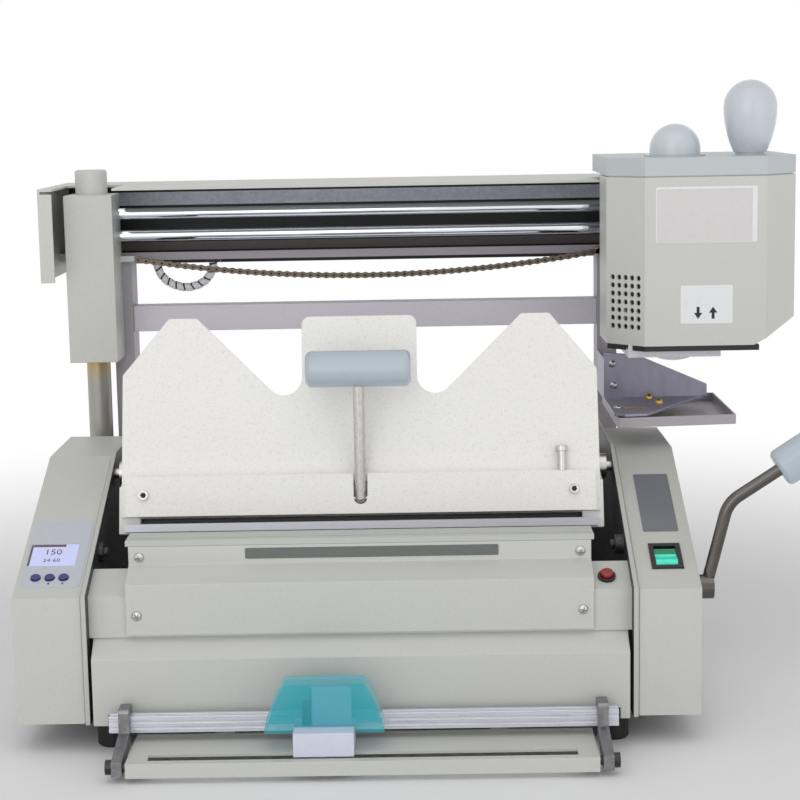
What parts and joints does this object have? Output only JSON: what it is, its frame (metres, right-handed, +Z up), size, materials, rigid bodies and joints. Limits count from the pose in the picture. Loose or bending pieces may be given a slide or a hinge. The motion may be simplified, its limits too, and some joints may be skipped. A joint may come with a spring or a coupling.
{
  "type": "hot melt binding machine",
  "caption": "Desktop hot melt book binder with a tilting clamp, sliding glue pot on guide rods, side lever and a front paper trimmer.",
  "frame": {"origin": "middle of the footprint, on the desk", "axes": "+X to the operator's right along the guide rods, +Y to the rear, +Z up"},
  "size_m": [0.609, 0.42, 0.451],
  "materials": {
    "body_paint": "satin, fine speckle",
    "cheek_paint": "satin",
    "plate_paint": "fine speckled powder coat",
    "lid_paint": "satin grey-blue",
    "grey_steel": "matt violet-grey",
    "dark_steel": "matt black",
    "zinc_steel": "bright zinc",
    "post_steel": "passivated, tan at the top",
    "chrome_rod": "polished",
    "dark_chrome": "dark chrome",
    "chain_steel": "oiled",
    "rail_aluminium": "extruded, anodised",
    "cast_aluminium": "cast",
    "knob_plastic": "gloss grey-blue",
    "teal_cover": "tinted, see-through",
    "pale_plastic": "moulded",
    "black_rubber": "matt",
    "black_plastic": "moulded",
    "green_rocker": "lit green",
    "navy_button": "moulded",
    "red_plastic": "moulded",
    "display_glass": "pale blue display",
    "board": "circuit board",
    "lead_wrap": "spiral wrap"
  },
  "bodies": {
    "body_frame": {"base_pan": "grey_steel", "feet": "black_rubber", "left_cheek": "cheek_paint", "right_cheek": "cheek_paint", "left_console_cover": "body_paint", "right_console_cover": "body_paint", "lower_front_panel": "body_paint", "front_cover": "body_paint", "centre_cover": "body_paint", "rear_panel": "body_paint", "mains_inlet": "black_plastic", "clamp_table": "cheek_paint", "uprights": "grey_steel", "cross_bar": "grey_steel", "beam_shell": "body_paint", "beam_back": "dark_steel", "beam_floor": "dark_steel", "guide_rods": "chrome_rod", "tower_box": "body_paint", "tower_post": "post_steel", "drip_tray": "grey_steel", "drip_bracket": "grey_steel", "screws": "zinc_steel", "display": "display_glass", "rocker_bezel": "black_plastic", "control_board": "board", "chain": "chain_steel", "wrapped_lead": "lead_wrap", "trimmer_tray": "body_paint"},
    "clamp": {"clamp_plate": "plate_paint", "clamp_bar": "plate_paint", "clamp_carrier": "plate_paint", "jaw_strip": "rail_aluminium", "pivot_discs": "zinc_steel", "side_pin": "zinc_steel"},
    "clamp_handle": {"handle_rod": "zinc_steel", "handle_grip": "knob_plastic"},
    "lever": {"lever_shaft": "zinc_steel", "lever_rod": "dark_chrome", "lever_grip": "knob_plastic"},
    "jaw": {"rear_jaw": "rail_aluminium"},
    "trimmer": {"trimmer_rail": "rail_aluminium", "trimmer_arms": "zinc_steel", "pivot_nuts": "dark_steel"},
    "cutter": {"cutter_cover": "teal_cover", "cutter_block": "pale_plastic"},
    "cutting_wheel": {"cutter_wheel": "zinc_steel"},
    "pot_carriage": {"pot_shell": "body_paint", "pot_lid": "lid_paint", "pot_base": "dark_steel", "glue_tank": "cast_aluminium", "egg_knob": "knob_plastic", "carriage_block": "cast_aluminium"},
    "pot_hatch": {"dome_knob": "knob_plastic"},
    "glue_roller": {"glue_rollers": "cast_aluminium"},
    "left_key": {"left_button": "navy_button"},
    "middle_key": {"middle_button": "navy_button"},
    "right_key": {"right_button": "navy_button"},
    "rocker": {"power_rocker": "green_rocker"},
    "red_key": {"red_button": "red_plastic"}
  },
  "joints": [
    {"name": "pot_slide", "type": "slide", "parent": "body_frame", "child": "pot_carriage", "axis": [1, 0, 0], "range_m": [-0.36, 0]},
    {"name": "roller_spin", "type": "hinge", "parent": "pot_carriage", "child": "glue_roller", "pos_m": [0.181, 0.03, 0.28], "axis": [0, 1, 0], "range_deg": [0, 570]},
    {"name": "hatch_hinge", "type": "hinge", "parent": "pot_carriage", "child": "pot_hatch", "pos_m": [0.1841, 0.06, 0.3973], "axis": [1, 0, 0], "range_deg": [-100, 0]},
    {"name": "clamp_tilt", "type": "hinge", "parent": "body_frame", "child": "clamp", "pos_m": [-0.0535, 0.002, 0.167], "axis": [1, 0, 0], "range_deg": [0, 25]},
    {"name": "handle_swing", "type": "hinge", "parent": "clamp", "child": "clamp_handle", "pos_m": [-0.0535, -0.0641, 0.1588], "axis": [1, 0, 0], "range_deg": [0, 35]},
    {"name": "lever_turn", "type": "hinge", "parent": "body_frame", "child": "lever", "pos_m": [0.1465, -0.123, 0.105], "axis": [1, 0, 0], "range_deg": [0, 85]},
    {"name": "jaw_slide", "type": "slide", "parent": "body_frame", "child": "jaw", "axis": [0, 1, 0], "range_m": [-0.0255, 0]},
    {"name": "trimmer_lift", "type": "hinge", "parent": "body_frame", "child": "trimmer", "pos_m": [-0.0535, -0.204, 0.01], "axis": [1, 0, 0], "range_deg": [0, 35]},
    {"name": "cutter_slide", "type": "slide", "parent": "trimmer", "child": "cutter", "axis": [1, 0, 0], "range_m": [-0.09, 0.136]},
    {"name": "wheel_spin", "type": "hinge", "parent": "cutter", "child": "cutting_wheel", "pos_m": [-0.0771, -0.198, 0.021], "axis": [0, 1, 0], "range_deg": [-580, 870]},
    {"name": "left_press", "type": "slide", "parent": "body_frame", "child": "left_key", "axis": [0, -0.4043, 0.9146], "range_m": [-0.0012, 0], "stiffness_N_per_m": 400},
    {"name": "middle_press", "type": "slide", "parent": "body_frame", "child": "middle_key", "axis": [0, -0.4043, 0.9146], "range_m": [-0.0012, 0], "stiffness_N_per_m": 400},
    {"name": "right_press", "type": "slide", "parent": "body_frame", "child": "right_key", "axis": [0, -0.4043, 0.9146], "range_m": [-0.0012, 0], "stiffness_N_per_m": 400},
    {"name": "red_press", "type": "slide", "parent": "body_frame", "child": "red_key", "axis": [0, -0.4012, 0.916], "range_m": [-0.0012, 0], "stiffness_N_per_m": 400},
    {"name": "rocker_tilt", "type": "hinge", "parent": "body_frame", "child": "rocker", "pos_m": [0.159, -0.10878, 0.11856], "axis": [1, 0, 0], "range_deg": [0, 20]}
  ],
  "couplings": [
    {"joint": "roller_spin", "follows": "pot_slide", "rad_per_m": -27.45},
    {"joint": "jaw_slide", "follows": "lever_turn", "m_per_rad": -0.01685},
    {"joint": "wheel_spin", "follows": "cutter_slide", "rad_per_m": 111.11}
  ]
}
